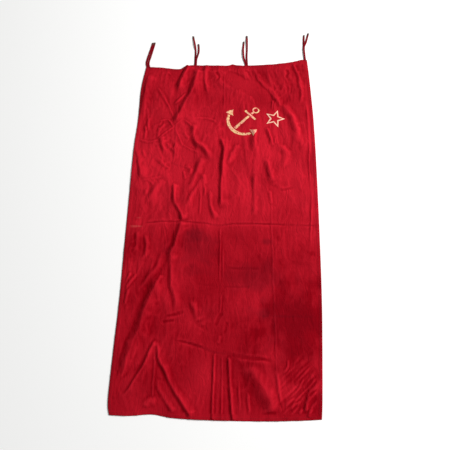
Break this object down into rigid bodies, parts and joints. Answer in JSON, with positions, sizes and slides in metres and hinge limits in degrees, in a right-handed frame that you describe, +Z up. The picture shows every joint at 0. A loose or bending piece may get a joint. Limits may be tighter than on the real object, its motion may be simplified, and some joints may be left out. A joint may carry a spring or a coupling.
{
  "type": "tie-on flag laid out flat",
  "caption": "Long cloth flag with tie strings along its hoist edge, opened out face up, with soft storage folds and a painted motif.",
  "frame": {"origin": "on the surface it lies on, under the middle of the cloth's box", "axes": "+Y from the fly edge to the hoist edge with the strings, +Z up out of the painted face, +X to the right seen from above with the hoist at the top"},
  "size_m": [0.8942, 1.9778, 0.0152],
  "materials": {
    "cloth": "plain-woven cotton calico, dyed red, matt, creased, faded unevenly and stained",
    "string": "narrow folded and stitched strings of the same calico, darkened by handling, frayed at the tips",
    "paint": "pale gold paint brushed through a stencil, cracked and worn down to the weave",
    "thread": "red cotton sewing thread, lock-stitched"
  },
  "bodies": {
    "root": {"cloth": "cloth", "string_1_west": "string", "string_1_east": "string", "string_2_west": "string", "string_2_east": "string", "string_3_west": "string", "string_3_east": "string", "string_4_west": "string", "string_4_east": "string"}
  },
  "joints": []
}
